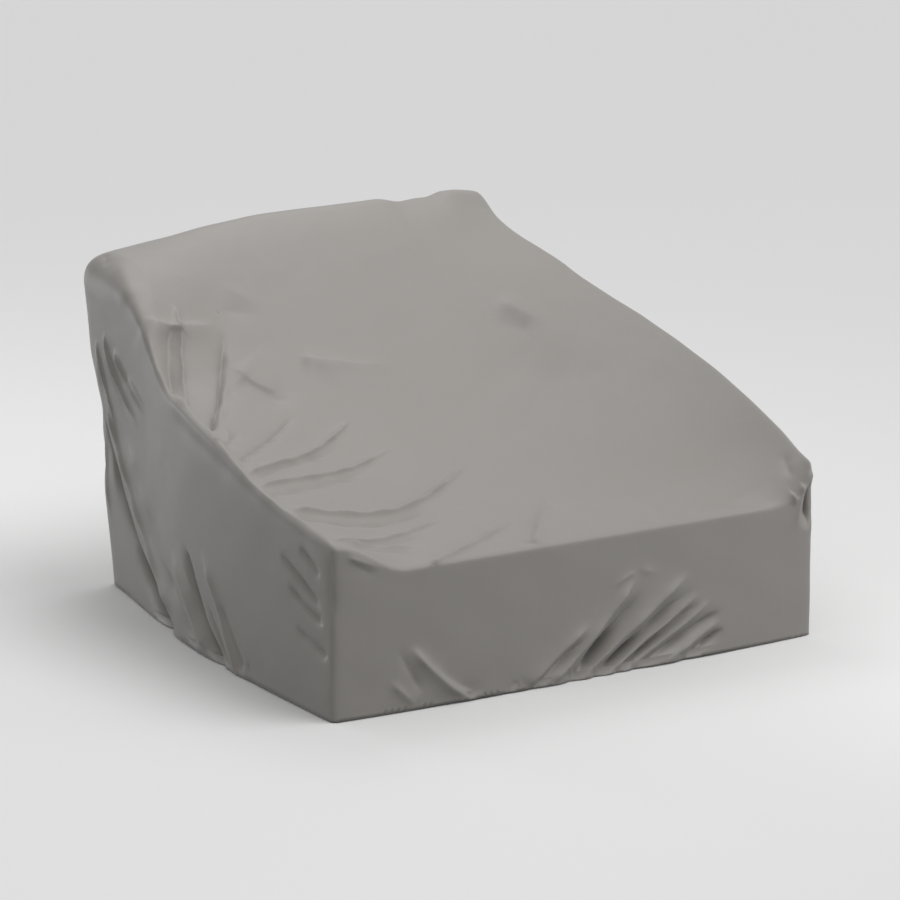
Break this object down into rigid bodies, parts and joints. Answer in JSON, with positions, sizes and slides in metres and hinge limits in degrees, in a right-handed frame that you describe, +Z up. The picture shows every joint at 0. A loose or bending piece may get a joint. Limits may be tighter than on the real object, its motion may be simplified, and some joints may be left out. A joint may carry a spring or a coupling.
{
  "type": "daybed cover",
  "caption": "Fitted weather cover for a wide outdoor daybed: one draped skin with a dished top, raised arms, a high back and an open hem.",
  "frame": {"origin": "middle of the bounding box, on the floor plane that the hem's low spots touch", "axes": "+Z up, +Y from the front hem to the back, +X to the right as seen from in front"},
  "size_m": [1.5714, 1.5752, 1.0264],
  "materials": {
    "cover_cloth": "coated woven polyester, soft satin"
  },
  "bodies": {
    "root": {"cover": "cover_cloth"}
  },
  "joints": []
}
